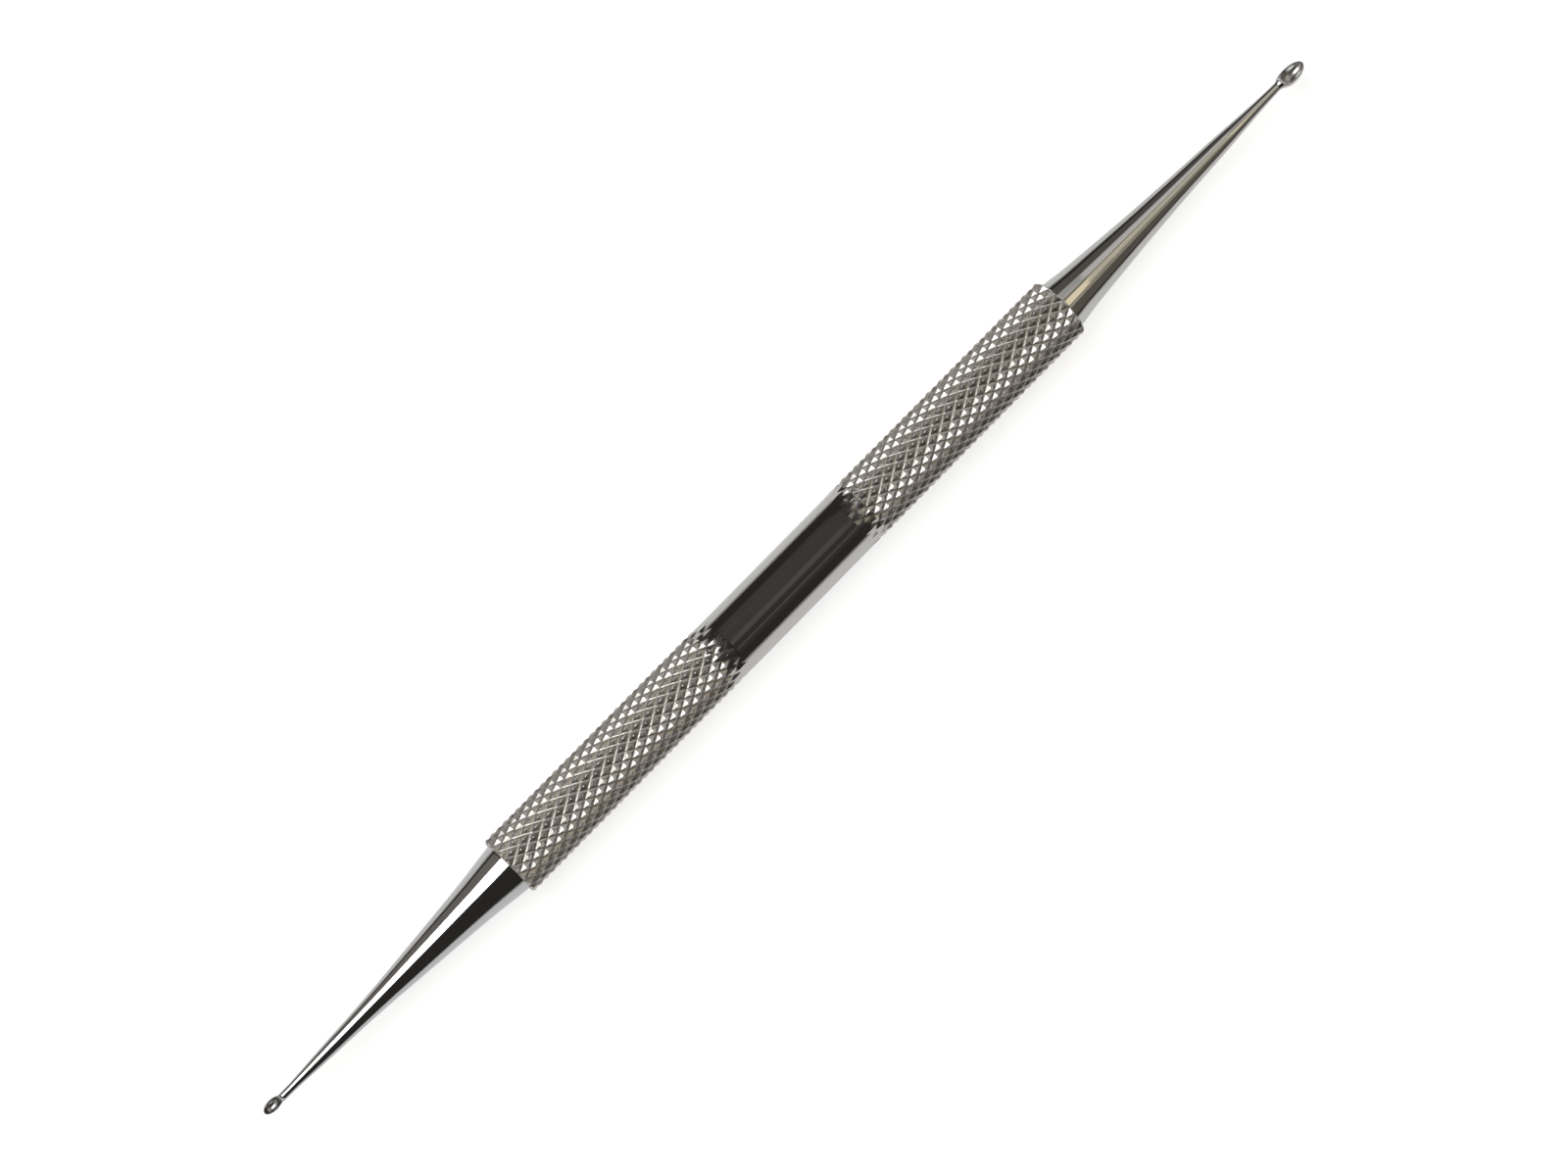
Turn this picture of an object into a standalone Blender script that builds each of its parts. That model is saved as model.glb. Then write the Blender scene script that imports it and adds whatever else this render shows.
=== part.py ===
"""Double-ended ingrown toenail tool.

A hollow steel handle tube carries a turned and ground spoon end in each mouth of its bore.
The tool lies along X on the plane Z = 0, with the large spoon towards +X, the small spoon
towards -X and both cups open upwards, each rolled to its own left. All lengths are in metres.
"""

import math

import bmesh
import bpy

# Handle tube
HANDLE_LENGTH = 0.0744
WAIST_DIAMETER = 0.0064
BORE_DIAMETER = 0.0055
BORE_CHAMFER = 0.0001
END_CHAMFER = 0.0002

# Rolled diamond knurl: a band at each end of the tube
BAND_LENGTH = 0.0286
CREST_DIAMETER = 0.0066
ROOT_DIAMETER = 0.00616
KNURL_PITCH = 0.00167
KNURL_STARTS = 20
RUN_OUT_LENGTH = 0.0025

# Parts of the working ends that both share
FIT_GAP = 0.00003
TAIL_LENGTH = 0.012
TAIL_CHAMFER = 0.0004
OVERRUN = 0.0005

# Large spoon end
LARGE_END_REACH = 0.0338
LARGE_NECK_DIAMETER = 0.00087
LARGE_SPOON_LENGTH = 0.00355
LARGE_SPOON_WIDTH = 0.0017
LARGE_DROP = 0.00022
LARGE_DROP_START = 0.00315
LARGE_DROP_RUN = 0.001
LARGE_GRIND_START = 0.00322
LARGE_RIM_HEIGHT = 0.00016
LARGE_RAMP_RADIUS = 0.0009
LARGE_CUP_HEEL = 0.0009
LARGE_CUP_TOE = 0.0017
LARGE_CUP_RISE = 0.00006
LARGE_CUP_WALL = 0.00012
LARGE_ROLL = math.radians(-20)

# Small spoon end
SMALL_END_REACH = 0.0318
SMALL_NECK_DIAMETER = 0.00079
SMALL_SPOON_LENGTH = 0.0021
SMALL_SPOON_WIDTH = 0.00116
SMALL_DROP = 0.00022
SMALL_DROP_START = 0.0023
SMALL_DROP_RUN = 0.0008
SMALL_GRIND_START = 0.00225
SMALL_RIM_HEIGHT = 0.0001
SMALL_RAMP_RADIUS = 0.0006
SMALL_CUP_HEEL = 0.00095
SMALL_CUP_TOE = 0.00072
SMALL_CUP_RISE = 0.0001
SMALL_CUP_WALL = 0.00009
SMALL_ROLL = math.radians(-34)

# Tapers from root to neck: share of the length, and share of the radius still to lose
LARGE_TAPER_SHARES = (
    (0.0, 1.0),
    (0.03, 0.95),
    (0.08, 0.856),
    (0.145, 0.77),
    (0.21, 0.694),
    (0.27, 0.623),
    (0.335, 0.549),
    (0.395, 0.484),
    (0.46, 0.423),
    (0.52, 0.37),
    (0.585, 0.318),
    (0.65, 0.272),
    (0.71, 0.228),
    (0.775, 0.171),
    (0.84, 0.107),
    (0.90, 0.055),
    (0.96, 0.016),
    (1.0, 0.0),
)
SMALL_TAPER_SHARES = (
    (0.0, 1.0),
    (0.03, 0.962),
    (0.08, 0.878),
    (0.145, 0.775),
    (0.21, 0.695),
    (0.28, 0.611),
    (0.34, 0.545),
    (0.40, 0.477),
    (0.465, 0.406),
    (0.525, 0.338),
    (0.585, 0.28),
    (0.645, 0.228),
    (0.705, 0.185),
    (0.765, 0.147),
    (0.825, 0.102),
    (0.885, 0.056),
    (0.945, 0.014),
    (1.0, 0.0),
)

# Places that follow from the sizes
OVERALL_LENGTH = SMALL_END_REACH + HANDLE_LENGTH + LARGE_END_REACH
HANDLE_START = SMALL_END_REACH - OVERALL_LENGTH / 2
HANDLE_END = HANDLE_START + HANDLE_LENGTH
TUBE_SEGMENTS = 2 * KNURL_STARTS
TUBE_STEP = math.tau / TUBE_SEGMENTS
AXIS_HEIGHT = CREST_DIAMETER / 2 * math.cos(TUBE_STEP / 2)

# The knurl's rows of diamond corners, half a pitch apart, along one band
BAND_ROWS = round((BAND_LENGTH - END_CHAMFER) / (KNURL_PITCH / 2))
ROW_SPACING = (BAND_LENGTH - END_CHAMFER) / BAND_ROWS

# Counts that set how fine the round surfaces are
END_SEGMENTS = 36
HEEL_RINGS = 9
TIP_RINGS = 8
CUP_RINGS = 7
RAMP_SEGMENTS = 8
FILLET_SHARPNESS = 6
SMOOTH_ANGLE = math.radians(22)
MERGE_DISTANCE = 0.000001


def clear_scene():
    """Remove every object and collection, so the script can be run again."""
    for obj in list(bpy.data.objects):
        bpy.data.objects.remove(obj, do_unlink=True)
    for collection in list(bpy.data.collections):
        bpy.data.collections.remove(collection)


def new_collection(name):
    collection = bpy.data.collections.new(name)
    bpy.context.scene.collection.children.link(collection)
    return collection


def steel(name, colour, roughness):
    """A stainless steel finish."""
    material = bpy.data.materials.new(name)
    material.use_nodes = True
    shader = material.node_tree.nodes["Principled BSDF"]
    shader.inputs["Base Color"].default_value = (*colour, 1.0)
    shader.inputs["Metallic"].default_value = 1.0
    shader.inputs["Roughness"].default_value = roughness
    material.diffuse_color = (*colour, 1.0)
    return material


def turned(name, profile, segments, collection):
    """Spin a profile of (x, radius) points once round the X axis."""
    mesh = bpy.data.meshes.new(name)
    points = [(x, 0.0, radius) for x, radius in profile]
    edges = [(i, i + 1) for i in range(len(points) - 1)]
    mesh.from_pydata(points, edges, [])
    obj = bpy.data.objects.new(name, mesh)
    collection.objects.link(obj)
    screw = obj.modifiers.new("turn", "SCREW")
    screw.axis = "X"
    screw.steps = segments
    screw.render_steps = segments
    screw.use_merge_vertices = True
    screw.merge_threshold = MERGE_DISTANCE
    screw.use_normal_calculate = True
    return obj


def bake_modifiers(obj):
    """Turn the object's modified shape into its own mesh."""
    depsgraph = bpy.context.evaluated_depsgraph_get()
    mesh = bpy.data.meshes.new_from_object(obj.evaluated_get(depsgraph))
    obj.modifiers.clear()
    obj.data = mesh
    return mesh


def shade_round(mesh):
    mesh.shade_smooth()
    mesh.set_sharp_from_angle(angle=SMOOTH_ANGLE)


def tube_profile():
    """The closed outline of the tube's wall, from one mouth of the bore round to the other."""
    crest = CREST_DIAMETER / 2
    waist = WAIST_DIAMETER / 2
    bore = BORE_DIAMETER / 2
    rows = [END_CHAMFER + i * ROW_SPACING for i in range(BAND_ROWS + 1)]
    outer = [(0.0, crest - END_CHAMFER)]
    outer += [(x, waist) for x in rows]
    outer += [(HANDLE_LENGTH - x, waist) for x in reversed(rows)]
    outer += [(HANDLE_LENGTH, crest - END_CHAMFER)]
    inner = [
        (HANDLE_LENGTH, bore + BORE_CHAMFER),
        (HANDLE_LENGTH - BORE_CHAMFER, bore),
        (BORE_CHAMFER, bore),
        (0.0, bore + BORE_CHAMFER),
    ]
    outline = outer + inner
    return outline + outline[:1]


def knurl_radius(row, is_crest):
    """Radius of a diamond's crest or of a groove crossing, fading out into the waist."""
    waist = WAIST_DIAMETER / 2
    full = (CREST_DIAMETER if is_crest else ROOT_DIAMETER) / 2
    to_waist = (BAND_ROWS - row) * ROW_SPACING
    fade = min(1.0, to_waist / RUN_OUT_LENGTH)
    return waist + (full - waist) * fade


def roll_knurl(mesh):
    """Press two hands of helical grooves into the turned rows of both bands.

    The rows and the tube's segments make a lattice. Its points are crests and groove
    crossings by turns, like a chessboard, and each groove runs along the cells' diagonals.
    """
    bm = bmesh.new()
    bm.from_mesh(mesh)
    inside_wall = (BORE_DIAMETER + WAIST_DIAMETER) / 4
    crossings = []
    for vert in bm.verts:
        radius = math.hypot(vert.co.y, vert.co.z)
        from_end = min(vert.co.x, HANDLE_LENGTH - vert.co.x)
        row = round((from_end - END_CHAMFER) / ROW_SPACING)
        off_row = abs(END_CHAMFER + row * ROW_SPACING - from_end)
        if radius < inside_wall or not 0 <= row <= BAND_ROWS or off_row > MERGE_DISTANCE:
            continue
        column = round(math.atan2(vert.co.y, vert.co.z) / TUBE_STEP)
        is_crest = (row + column) % 2 == 1
        scale = knurl_radius(row, is_crest) / radius
        vert.co.y *= scale
        vert.co.z *= scale
        if not is_crest:
            crossings.append(vert)
    bmesh.ops.connect_verts(bm, verts=crossings)
    bmesh.ops.triangulate(bm, faces=bm.faces)
    bm.to_mesh(mesh)
    bm.free()


def make_handle(parts):
    handle = turned("handle_tube", tube_profile(), TUBE_SEGMENTS, parts)
    mesh = bake_modifiers(handle)
    roll_knurl(mesh)
    shade_round(mesh)
    handle.location.x = HANDLE_START
    # Half a step of turn puts a pair of crest lines underneath, so the tool lies still
    handle.rotation_euler.x = TUBE_STEP / 2
    return handle


def oval_outline(centre, half_length, radius, first, last, rings):
    """Points of a quarter or half oval over the X axis, from one angle to another."""
    points = []
    for i in range(rings + 1):
        angle = first + (last - first) * i / rings
        points.append((centre - half_length * math.cos(angle), radius * math.sin(angle)))
    return points


def end_profile(reach, neck_diameter, spoon_length, spoon_width, taper_shares):
    """Outline of a working end before its cup is ground, from the tail's face to the tip."""
    root = BORE_DIAMETER / 2 - FIT_GAP
    neck = neck_diameter / 2
    bulb = spoon_width / 2
    half = spoon_length / 2
    centre = reach - half
    taper = reach - spoon_length
    outline = [
        (-TAIL_LENGTH, 0.0),
        (-TAIL_LENGTH, root - TAIL_CHAMFER),
        (TAIL_CHAMFER - TAIL_LENGTH, root),
    ]
    outline += [(taper * along, neck + (root - neck) * left) for along, left in taper_shares]
    # The heel of the oval swells out of the neck through a small fillet
    for x, radius in oval_outline(centre, half, bulb, 0.0, math.pi / 2, HEEL_RINGS)[1:]:
        powers = radius**FILLET_SHARPNESS + neck**FILLET_SHARPNESS
        outline.append((x, powers ** (1 / FILLET_SHARPNESS)))
    outline += oval_outline(centre, half, bulb, math.pi / 2, math.pi, TIP_RINGS)[1:-1]
    outline.append((reach, 0.0))
    return outline


def lower_bowl(mesh, start, run, drop):
    """Set the spoon below the neck's axis, easing it down over a short run."""
    for vert in mesh.vertices:
        share = min(1.0, max(0.0, (vert.co.x - start) / run))
        vert.co.z -= drop * share * share * (3 - 2 * share)


def cup_cutter(name, deepest, heel, toe, radius, height, cutters):
    """The egg-shaped burr that hollows the cup, blunt towards the neck."""
    outline = oval_outline(deepest, heel, radius, 0.0, math.pi / 2, CUP_RINGS)[:-1]
    outline += oval_outline(deepest, toe, radius, math.pi / 2, math.pi, CUP_RINGS)[:-1]
    outline.append((deepest + toe, 0.0))
    burr = turned(name, outline, END_SEGMENTS, cutters)
    burr.location.z = height
    return burr


def face_cutter(name, start, stop, half_width, floor, top, ramp, cutters):
    """The block that grinds the cup's rim flat, with a round ramp up to the neck."""
    bm = bmesh.new()
    bmesh.ops.create_cube(bm, size=1.0)
    bmesh.ops.scale(bm, vec=(stop - start, 2 * half_width, top - floor), verts=bm.verts)
    middle = ((start + stop) / 2, 0.0, (floor + top) / 2)
    bmesh.ops.translate(bm, vec=middle, verts=bm.verts)
    heel = [
        edge
        for edge in bm.edges
        if all(vert.co.x < middle[0] and vert.co.z < middle[2] for vert in edge.verts)
    ]
    bmesh.ops.bevel(bm, geom=heel, offset=ramp, segments=RAMP_SEGMENTS, affect="EDGES", profile=0.5)
    mesh = bpy.data.meshes.new(name)
    bm.to_mesh(mesh)
    bm.free()
    obj = bpy.data.objects.new(name, mesh)
    cutters.objects.link(obj)
    return obj


def cut(obj, cutter):
    cutter.parent = obj
    cutter.hide_render = True
    cutter.display_type = "WIRE"
    boolean = obj.modifiers.new(cutter.name, "BOOLEAN")
    boolean.operation = "DIFFERENCE"
    boolean.solver = "EXACT"
    boolean.object = cutter


def make_spoon_end(
    name, reach, neck_diameter, spoon_length, spoon_width, drop, drop_start, drop_run,
    grind_start, rim_height, ramp, cup_heel, cup_toe, cup_rise, wall, taper_shares, parts,
    cutters,
):
    """A working end, from its tail in the bore to its ground and hollowed spoon."""
    outline = end_profile(reach, neck_diameter, spoon_length, spoon_width, taper_shares)
    end = turned(name, outline, END_SEGMENTS, parts)
    lower_bowl(bake_modifiers(end), reach - drop_start, drop_run, drop)
    deepest = reach - wall - cup_toe
    face = face_cutter(
        name + "_rim_cut",
        reach - grind_start,
        reach + OVERRUN,
        spoon_width / 2 + OVERRUN,
        rim_height - drop,
        spoon_width / 2 + OVERRUN,
        ramp,
        cutters,
    )
    cut(end, face)
    burr = cup_cutter(
        name + "_cup_cut",
        deepest,
        cup_heel,
        cup_toe,
        spoon_width / 2 - wall,
        cup_rise - drop,
        cutters,
    )
    cut(end, burr)
    return end


def main():
    clear_scene()
    parts = new_collection("ingrown_toenail_tool")
    cutters = new_collection("cutters")

    axis = bpy.data.objects.new("tool_axis", None)
    axis.location.z = AXIS_HEIGHT
    parts.objects.link(axis)

    handle = make_handle(parts)

    large = make_spoon_end(
        "large_spoon_end",
        LARGE_END_REACH,
        LARGE_NECK_DIAMETER,
        LARGE_SPOON_LENGTH,
        LARGE_SPOON_WIDTH,
        LARGE_DROP,
        LARGE_DROP_START,
        LARGE_DROP_RUN,
        LARGE_GRIND_START,
        LARGE_RIM_HEIGHT,
        LARGE_RAMP_RADIUS,
        LARGE_CUP_HEEL,
        LARGE_CUP_TOE,
        LARGE_CUP_RISE,
        LARGE_CUP_WALL,
        LARGE_TAPER_SHARES,
        parts,
        cutters,
    )
    large.location.x = HANDLE_END
    large.rotation_euler.x = LARGE_ROLL

    small = make_spoon_end(
        "small_spoon_end",
        SMALL_END_REACH,
        SMALL_NECK_DIAMETER,
        SMALL_SPOON_LENGTH,
        SMALL_SPOON_WIDTH,
        SMALL_DROP,
        SMALL_DROP_START,
        SMALL_DROP_RUN,
        SMALL_GRIND_START,
        SMALL_RIM_HEIGHT,
        SMALL_RAMP_RADIUS,
        SMALL_CUP_HEEL,
        SMALL_CUP_TOE,
        SMALL_CUP_RISE,
        SMALL_CUP_WALL,
        SMALL_TAPER_SHARES,
        parts,
        cutters,
    )
    small.location.x = HANDLE_START
    small.rotation_euler = (SMALL_ROLL, 0.0, math.pi)

    handle.data.materials.append(steel("handle_steel", (0.52, 0.51, 0.48), 0.25))
    large.data.materials.append(steel("large_end_steel", (0.58, 0.57, 0.53), 0.12))
    small.data.materials.append(steel("small_end_steel", (0.57, 0.57, 0.56), 0.12))

    for piece in (handle, large, small):
        piece.parent = axis


main()
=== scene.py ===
# %% [markdown]
# # An ingrown toenail tool in polished steel
#
# The real tool is a thin steel tube with a turned and ground spoon pressed into each end.
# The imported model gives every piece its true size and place. This lesson models finer
# pieces over it, gives them their steel, and lights them as the photograph is lit.

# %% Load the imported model
import math

import bpy
from mathutils import Matrix, Vector


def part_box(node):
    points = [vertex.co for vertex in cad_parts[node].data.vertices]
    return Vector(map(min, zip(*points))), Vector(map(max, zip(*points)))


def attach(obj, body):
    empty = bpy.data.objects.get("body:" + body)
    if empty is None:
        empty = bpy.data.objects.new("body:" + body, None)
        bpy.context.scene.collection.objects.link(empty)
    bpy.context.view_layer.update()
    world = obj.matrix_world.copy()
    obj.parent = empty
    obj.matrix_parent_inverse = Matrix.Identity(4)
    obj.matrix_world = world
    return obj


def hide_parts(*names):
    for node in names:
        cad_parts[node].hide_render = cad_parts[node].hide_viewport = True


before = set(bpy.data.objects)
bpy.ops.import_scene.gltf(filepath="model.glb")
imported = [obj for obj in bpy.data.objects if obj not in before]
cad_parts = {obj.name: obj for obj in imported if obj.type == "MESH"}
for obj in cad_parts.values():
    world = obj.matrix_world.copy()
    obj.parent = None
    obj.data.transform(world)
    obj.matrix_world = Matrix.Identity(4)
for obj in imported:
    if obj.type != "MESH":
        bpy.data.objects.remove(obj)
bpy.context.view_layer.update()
print("packed nodes:", sorted(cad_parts))

# %% [markdown]
# ## The camera
#
# The photograph looks almost straight down on the tool from about 40 cm away. The tool gets
# slightly narrower towards its large spoon, so the camera leans towards the small one, and
# it also leans a little to one side, which shows in how far the pale floor climbs up each
# side of the polished steel. A long lens and a turned camera put the tool on its diagonal.

# %% Place the camera
handle_low, handle_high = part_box("handle_tube")
AXIS_HEIGHT = (handle_low[2] + handle_high[2]) / 2
AXIS_MIDDLE = Vector((0.0, 0.0, AXIS_HEIGHT))
CAMERA_DISTANCE = 0.4
LEAN_TO_SMALL_END = math.radians(7.2)
LEAN_TO_SIDE = math.radians(7.0)
TOOL_SLANT = math.radians(45.44)
SLIDE_ACROSS = -0.00104
SLIDE_UP = -0.0011
LENS = 97.7
CLIP_START = 0.01


def camera_axes():
    """The picture's right and up directions, and the direction back to the camera."""
    along = Vector((math.cos(LEAN_TO_SMALL_END), 0.0, math.sin(LEAN_TO_SMALL_END)))
    across = Vector((0.0, 1.0, 0.0))
    lean = Matrix.Rotation(LEAN_TO_SIDE, 3, "X")
    along = lean @ along
    across = lean @ across
    right = along * math.cos(TOOL_SLANT) - across * math.sin(TOOL_SLANT)
    up = along * math.sin(TOOL_SLANT) + across * math.cos(TOOL_SLANT)
    return right, up, right.cross(up)


right, up, back = camera_axes()
camera = bpy.data.objects.new("photo_camera", bpy.data.cameras.new("photo_camera"))
bpy.context.scene.collection.objects.link(camera)
camera.data.lens = LENS
camera.data.clip_start = CLIP_START
turn = Matrix((right, up, back)).transposed().to_4x4()
place = AXIS_MIDDLE + back * CAMERA_DISTANCE + right * SLIDE_ACROSS + up * SLIDE_UP
camera.matrix_world = Matrix.Translation(place) @ turn
bpy.context.scene.camera = camera
print("camera at", tuple(round(v, 4) for v in place))

# %% [markdown]
# ## Small helpers
#
# Each operator works on whatever is selected, so the cells below first choose an object, or
# edges or points by where they are. These helpers hold that habit, and the few moves that
# the pieces share. Two places count as the same when they are nearer than NEAR, in metres.

# %% Helpers for edit mode
NEAR = 0.000002


def start_clean():
    """Leave edit mode and deselect every object."""
    if bpy.context.object and bpy.context.object.mode != "OBJECT":
        bpy.ops.object.mode_set(mode="OBJECT")
    bpy.ops.object.select_all(action="DESELECT")


def select_only(obj):
    """Select one object and make it the active one."""
    start_clean()
    obj.select_set(True)
    bpy.context.view_layer.objects.active = obj


def join_onto(obj, other):
    """Make another object's mesh a part of this one."""
    select_only(obj)
    other.select_set(True)
    bpy.ops.object.join()


def pick_points(obj, test):
    """In edit mode, select the points whose place passes the test."""
    bpy.ops.mesh.select_mode(type="VERT")
    bpy.ops.mesh.select_all(action="DESELECT")
    bpy.ops.object.mode_set(mode="OBJECT")
    for point in obj.data.vertices:
        point.select = bool(test(point.co))
    bpy.ops.object.mode_set(mode="EDIT")


def pick_edges(obj, test):
    """In edit mode, select the edges whose two ends pass the test together."""
    bpy.ops.mesh.select_mode(type="EDGE")
    bpy.ops.mesh.select_all(action="DESELECT")
    bpy.ops.object.mode_set(mode="OBJECT")
    points = obj.data.vertices
    for edge in obj.data.edges:
        first, second = edge.vertices
        edge.select = bool(test(points[first].co, points[second].co))
    bpy.ops.object.mode_set(mode="EDIT")


def swell(factor):
    """Scale the selected points away from the X axis."""
    bpy.ops.transform.resize(value=(1.0, factor, factor), center_override=(0.0, 0.0, 0.0))


def pull(distance):
    """Extrude the selection and move it along X."""
    bpy.ops.mesh.extrude_region_move(TRANSFORM_OT_translate={"value": (distance, 0.0, 0.0)})


def bake(obj, name):
    """Apply one modifier for good."""
    bpy.context.view_layer.objects.active = obj
    bpy.ops.object.modifier_apply(modifier=name)


def report(obj):
    """Print an object's size and its number of triangles."""
    obj.data.calc_loop_triangles()
    size = [round(1000 * v, 2) for v in obj.dimensions]
    print(obj.name, "is", size, "mm with", len(obj.data.loop_triangles), "triangles")


# %% [markdown]
# ## The handle's knurl
#
# A diamond knurl is rolled into the tube by two hard wheels whose teeth lean opposite ways.
# Each wheel presses a set of helical grooves, and the metal left between them stands up in
# small pyramids. A displaced texture could fake this, but the pyramids catch the light as
# flat facets, so they are modelled. The trick is a lattice: on a tube with two points per
# groove and rows half a pitch apart, every second point is a crest and the others are where
# grooves cross, like the squares of a chessboard. Lifting one set, sinking the other and
# joining the sunk points across each face gives every groove of both hands at once. The
# crest radius is that of the sharp pyramid, before its tip is worn down. One half of the
# handle is modelled, from the origin outwards along X, and mirrored later.

# %% Lay out the lattice of one band
HALF_HANDLE = (handle_high[0] - handle_low[0]) / 2
WAIST_RADIUS = 0.0032
CREST_RADIUS = 0.003315
ROOT_RADIUS = 0.00301
END_CHAMFER = 0.0002
RING_RADIUS = 0.0031
COLUMNS = 40
ROWS = 35
COLUMN_STEP = math.tau / COLUMNS
ROW_STEP = 0.00082
BAND_OUTER = HALF_HANDLE - END_CHAMFER
BAND_INNER = BAND_OUTER - ROWS * ROW_STEP
EDGE_RING = 0.0002

start_clean()
bpy.ops.mesh.primitive_cylinder_add(
    vertices=COLUMNS,
    radius=WAIST_RADIUS,
    depth=BAND_OUTER - BAND_INNER,
    end_fill_type="NOTHING",
    location=((BAND_OUTER + BAND_INNER) / 2, 0.0, 0.0),
    rotation=(0.0, math.pi / 2, 0.0),
)
handle = bpy.context.object
handle.name = "handle"
bpy.ops.object.transform_apply(location=True, rotation=True, scale=True)
bpy.ops.object.mode_set(mode="EDIT")
pick_edges(handle, lambda a, b: abs(a.x - b.x) > ROW_STEP)
bpy.ops.mesh.subdivide(number_cuts=ROWS - 1)
pick_edges(handle, lambda a, b: min(a.x, b.x) > BAND_OUTER - NEAR)
pull(END_CHAMFER)
swell(RING_RADIUS / WAIST_RADIUS)
pick_edges(handle, lambda a, b: max(a.x, b.x) < BAND_INNER + NEAR)
pull(-EDGE_RING)
bpy.ops.object.mode_set(mode="OBJECT")
print("lattice points:", len(handle.data.vertices))

# %% [markdown]
# The rolling wheels are eased in and out, so the last few rows fade into the plain waist.
# Each row gets its own lift and sink, full on most rows and shrinking over the run-out. The
# rows of full depth are pressed together, and each row of the run-out by itself.

# %% Press the grooves
RUN_OUT = 0.0025


def row_of(p):
    """The row of the lattice that a point is on, counted from the mouth."""
    return round((BAND_OUTER - p.x) / ROW_STEP)


def on_band(p):
    return BAND_INNER - NEAR < p.x < BAND_OUTER + NEAR


def is_crest(p):
    """True on every second point, like the black squares of a chessboard."""
    column = round(math.atan2(p.y, p.z) / COLUMN_STEP)
    return (row_of(p) + column) % 2 == 1


def is_crossing(p):
    return on_band(p) and not is_crest(p)


def fade_of(row):
    """How far the wheels are pressed in at a row, from 0 to 1."""
    return min(1.0, (ROWS - row) * ROW_STEP / RUN_OUT)


full_rows = [row for row in range(ROWS + 1) if fade_of(row) == 1.0]
groups = [full_rows] + [[row] for row in range(len(full_rows), ROWS + 1)]
bpy.ops.object.mode_set(mode="EDIT")
for rows in groups:
    fade = fade_of(rows[0])
    pick_points(handle, lambda p: on_band(p) and is_crest(p) and row_of(p) in rows)
    swell(1 + (CREST_RADIUS / WAIST_RADIUS - 1) * fade)
    pick_points(handle, lambda p: is_crossing(p) and row_of(p) in rows)
    swell(1 + (ROOT_RADIUS / WAIST_RADIUS - 1) * fade)
pick_points(handle, is_crossing)
bpy.ops.mesh.vert_connect()
bpy.ops.object.mode_set(mode="OBJECT")
print("rows pressed in full:", len(full_rows), "of", ROWS + 1)

# %% [markdown]
# Rolled metal keeps crisp ridges, but its groove bottoms are round, because the wheels'
# teeth are, and they carry the fine lines that criss-cross the knurl. Bevel weights tell a
# Bevel modifier which edges to round, and by how much: less beside the mouth, where a full
# round would run past the chamfer. The tips are worn, so each crest gets a tiny cap.

# %% Round the grooves and tips
GROOVE_ROUND = 0.00013
TIP_ROUND = 0.00012
ROUND_SEGMENTS = 2
MOUTH_SHARE = 0.65
ROW_SLACK = 0.01


def is_mouth_groove(a, b):
    """A groove's first stretch, which ends at the chamfer of the tube's mouth."""
    return is_crossing(a) and is_crossing(b) and max(a.x, b.x) > BAND_OUTER - NEAR


bpy.ops.object.mode_set(mode="EDIT")
pick_edges(handle, lambda a, b: is_crossing(a) and is_crossing(b))
bpy.ops.transform.edge_bevelweight(value=1.0)
pick_edges(handle, is_mouth_groove)
bpy.ops.transform.edge_bevelweight(value=MOUTH_SHARE - 1)
bpy.ops.object.mode_set(mode="OBJECT")
rounding = handle.modifiers.new("rounding", "BEVEL")
rounding.limit_method = "WEIGHT"
rounding.width = GROOVE_ROUND
rounding.segments = ROUND_SEGMENTS
rounding.use_clamp_overlap = False
bake(handle, "rounding")


def is_tip(p):
    """A crest that stands well above the waist."""
    along = (BAND_OUTER - p.x) / ROW_STEP
    on_row = on_band(p) and abs(along - round(along)) < ROW_SLACK
    return on_row and math.hypot(p.y, p.z) > (CREST_RADIUS + WAIST_RADIUS) / 2


bpy.ops.object.mode_set(mode="EDIT")
pick_points(handle, is_tip)
bpy.ops.mesh.bevel(offset=TIP_ROUND, segments=ROUND_SEGMENTS, affect="VERTICES")
bpy.ops.object.mode_set(mode="OBJECT")
report(handle)

# %% [markdown]
# ## The mouth, the bore and the waist
#
# The tube's end is a narrow flat ring with the bore's chamfer inside it, and the bore runs
# on under the waist. These come from the same ring of edges: a pull of nothing starts a new
# ring in place, which is then shrunk or pulled along. The waist is mirror-smooth, where a
# coarse tube would show its corners, so it is a finer cylinder, bridged to the knurl's last
# ring.

# %% Close the tube's wall and add the waist
BORE_RADIUS = 0.00275
BORE_CHAMFER = 0.0001
WAIST_COLUMNS = 120
WAIST_CUTS = 3

bpy.ops.object.mode_set(mode="EDIT")
pick_edges(handle, lambda a, b: min(a.x, b.x) > HALF_HANDLE - NEAR)
pull(0.0)
swell((BORE_RADIUS + BORE_CHAMFER) / RING_RADIUS)
pull(-BORE_CHAMFER)
swell(BORE_RADIUS / (BORE_RADIUS + BORE_CHAMFER))
pull(BORE_CHAMFER - HALF_HANDLE)
bpy.ops.object.mode_set(mode="OBJECT")

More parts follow.
